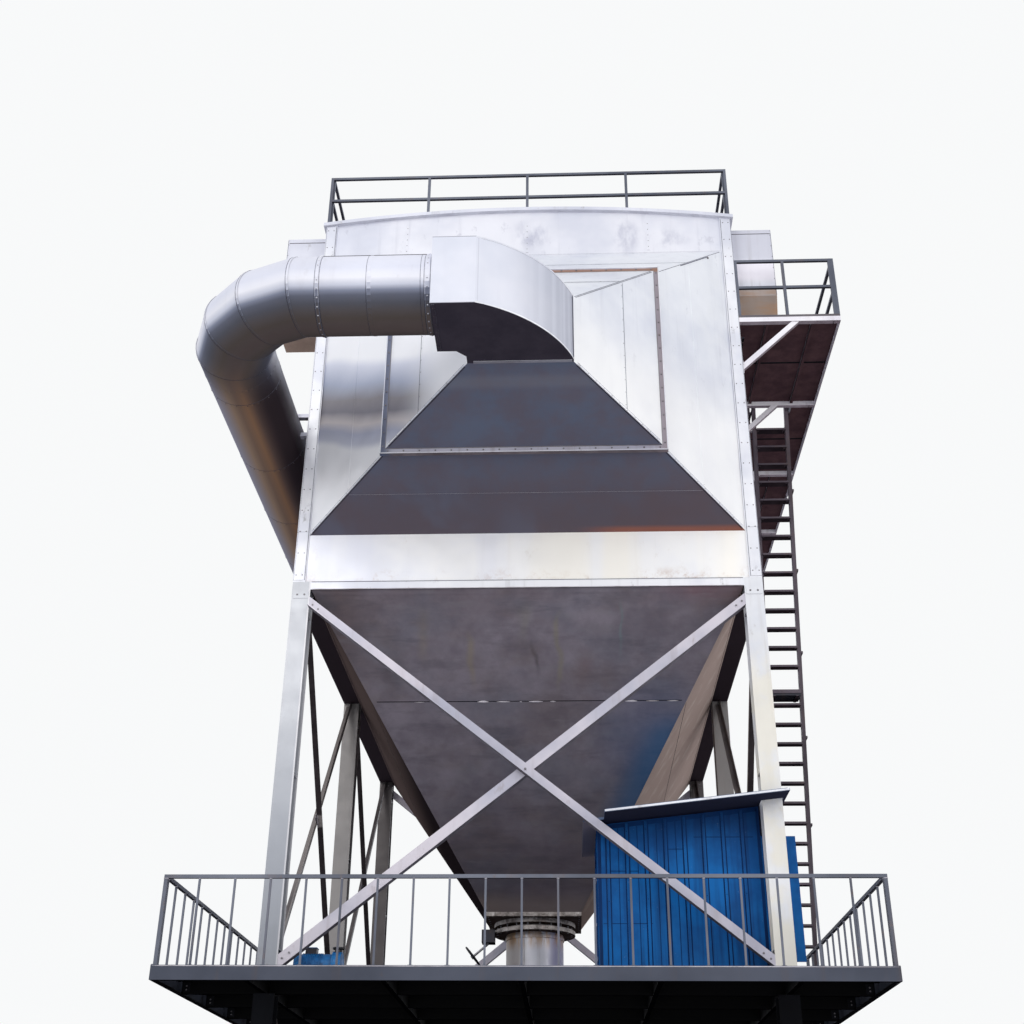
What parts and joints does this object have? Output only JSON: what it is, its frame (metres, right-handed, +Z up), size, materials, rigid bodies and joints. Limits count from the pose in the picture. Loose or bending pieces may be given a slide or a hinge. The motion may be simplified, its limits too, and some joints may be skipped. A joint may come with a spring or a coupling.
{
  "type": "electrostatic precipitator",
  "caption": "Electrostatic precipitator with clad casing, tapered horns, round inlet duct and one hopper, on a railed steel deck with side platform and ladder.",
  "frame": {"origin": "on the ground, under the middle of the whole plant", "axes": "+Z up, +X to the right and +Y to the rear of the front view, which shows the inlet horn"},
  "size_m": [9.1048, 15.85, 16.36],
  "materials": {
    "cladding": "satin sheet cladding",
    "silver_steel": "silver paint",
    "flange_steel": "dark worn paint",
    "deck_steel": "blue-grey paint",
    "rail_steel": "grey-brown paint",
    "platform_steel": "dark paint",
    "hopper_plate": "grey bare plate",
    "outlet_steel": "rusty paint",
    "shed_sheet": "blue coated sheet",
    "shed_roof_sheet": "grey sheet",
    "pump_paint": "blue paint"
  },
  "bodies": {
    "root": {"base_plates": "deck_steel", "brace_front": "silver_steel", "brace_left": "silver_steel", "brace_rear": "silver_steel", "brace_right": "silver_steel", "casing_posts": "cladding", "columns": "silver_steel", "deck_frame": "deck_steel", "deck_plate": "deck_steel", "deck_rail_ends": "rail_steel", "deck_rail_sides": "rail_steel", "duct_bend": "cladding", "duct_brackets": "silver_steel", "duct_flange": "flange_steel", "duct_run": "cladding", "duct_straight": "cladding", "dust_pipe": "outlet_steel", "front_band": "cladding", "front_gable": "cladding", "hopper": "hopper_plate", "hopper_flange": "outlet_steel", "inlet_elbow": "cladding", "inlet_horn_base": "cladding", "inlet_horn_frame": "flange_steel", "inlet_horn_nose": "cladding", "insulator_boxes_left": "cladding", "insulator_boxes_right": "cladding", "ladder_handrails": "rail_steel", "ladder_seat": "deck_steel", "ladder_stiles": "rail_steel", "ladder_treads": "rail_steel", "left_wall": "cladding", "lower_braces": "deck_steel", "lower_columns": "deck_steel", "outlet_flange": "flange_steel", "outlet_horn_base": "cladding", "outlet_horn_frame": "flange_steel", "outlet_horn_nose": "cladding", "outlet_stub": "cladding", "platform_brackets": "silver_steel", "platform_edge": "platform_steel", "platform_floor": "platform_steel", "platform_rail_ends": "rail_steel", "platform_rail_side": "rail_steel", "pump_base": "pump_paint", "pump_motor": "pump_paint", "rear_band": "cladding", "rear_gable": "cladding", "right_wall": "cladding", "ring_beam": "silver_steel", "roof": "cladding", "roof_rail_ends": "rail_steel", "roof_rail_sides": "rail_steel", "shed_roof": "shed_roof_sheet", "shed_walls": "shed_sheet"}
  },
  "joints": []
}
